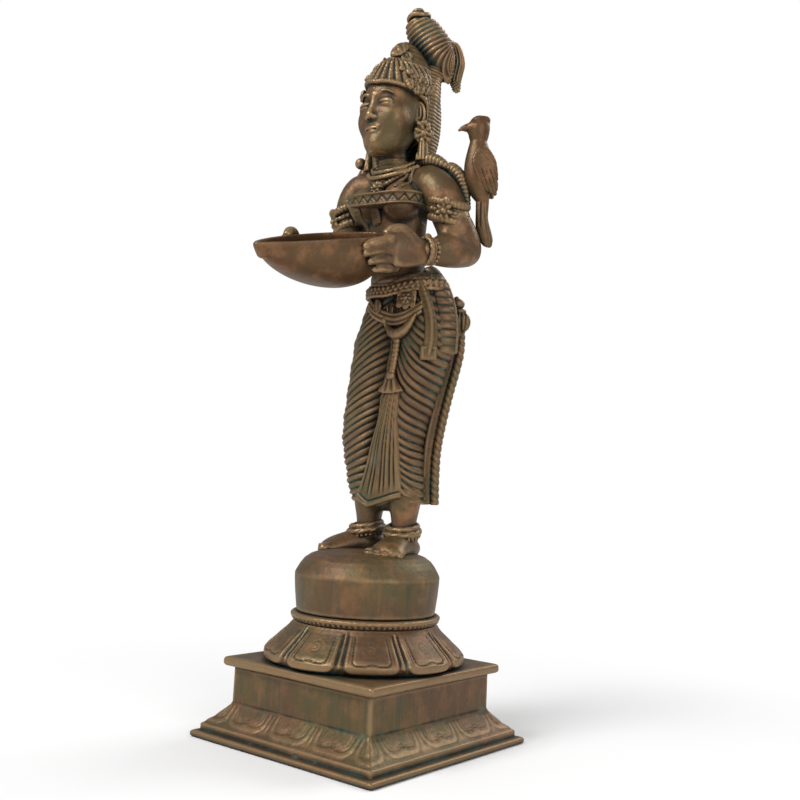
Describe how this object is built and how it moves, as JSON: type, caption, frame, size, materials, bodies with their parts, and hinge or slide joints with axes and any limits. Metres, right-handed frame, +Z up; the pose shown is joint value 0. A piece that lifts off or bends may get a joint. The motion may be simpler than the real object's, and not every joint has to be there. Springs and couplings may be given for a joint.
{
  "type": "lakshmi_lamp_figure",
  "caption": "Standing bronze lady holding a boat-shaped oil lamp with a parrot behind her shoulder, on a drum, lotus seat and square moulded plinth",
  "frame": {"origin": "middle of the plinth's underside", "axes": "+Z up along the figure, -Y the way the figure faces and the lamp points, +X toward her left hand"},
  "size_m": [0.1, 0.1239, 0.3218],
  "materials": {
    "bronze_base": "dark cast bronze, streaked, green in the seams",
    "bronze_skin": "smooth rubbed bronze, coppery on the high places",
    "bronze_cloth": "chased bronze, dark in the folds",
    "bronze_jewellery": "chased bronze, worn bright on the beads",
    "bronze_hair": "combed dark bronze",
    "bronze_lamp": "bronze rubbed to copper pink, greenish inside",
    "bronze_bird": "chased bronze, rubbed on the crown of the head"
  },
  "bodies": {
    "root": {"plinth": "bronze_base", "plinth_top_slab": "bronze_base", "lotus_pedestal": "bronze_base", "lotus_collar": "bronze_base", "drum": "bronze_base", "right_foot": "bronze_skin", "left_foot": "bronze_skin", "right_anklet": "bronze_jewellery", "left_anklet": "bronze_jewellery", "skirt_right_leg": "bronze_cloth", "skirt_left_leg": "bronze_cloth", "front_pleats": "bronze_cloth", "skirt_train": "bronze_cloth", "waist_sash": "bronze_cloth", "girdle": "bronze_jewellery", "girdle_medallion": "bronze_jewellery", "girdle_loop": "bronze_jewellery", "girdle_tassel": "bronze_jewellery", "left_hip_sash": "bronze_cloth", "left_side_panel": "bronze_cloth", "hip_bow": "bronze_cloth", "torso": "bronze_skin", "head": "bronze_skin", "breast_band": "bronze_cloth", "necklace": "bronze_jewellery", "pendant": "bronze_jewellery", "shoulder_strap": "bronze_cloth", "band_tie_right": "bronze_cloth", "band_tie_left": "bronze_cloth", "right_arm": "bronze_skin", "right_armlet": "bronze_jewellery", "right_bangle": "bronze_jewellery", "left_arm": "bronze_skin", "left_armlet": "bronze_jewellery", "left_bangle": "bronze_jewellery", "lamp_bowl": "bronze_lamp", "right_hand": "bronze_skin", "left_hand": "bronze_skin", "hair_cap": "bronze_hair", "back_hair": "bronze_hair", "hair_bun": "bronze_hair", "bun_finial": "bronze_hair", "bun_tail": "bronze_hair", "crown_jewel": "bronze_jewellery", "right_hair_rosettes": "bronze_jewellery", "left_hair_rosettes": "bronze_jewellery", "right_earring": "bronze_jewellery", "left_earring": "bronze_jewellery", "right_shoulder_lock": "bronze_hair", "left_shoulder_lock": "bronze_hair", "shoulder_garland": "bronze_hair", "parrot_body": "bronze_bird", "parrot_wings": "bronze_bird", "parrot_tail": "bronze_bird"}
  },
  "joints": []
}
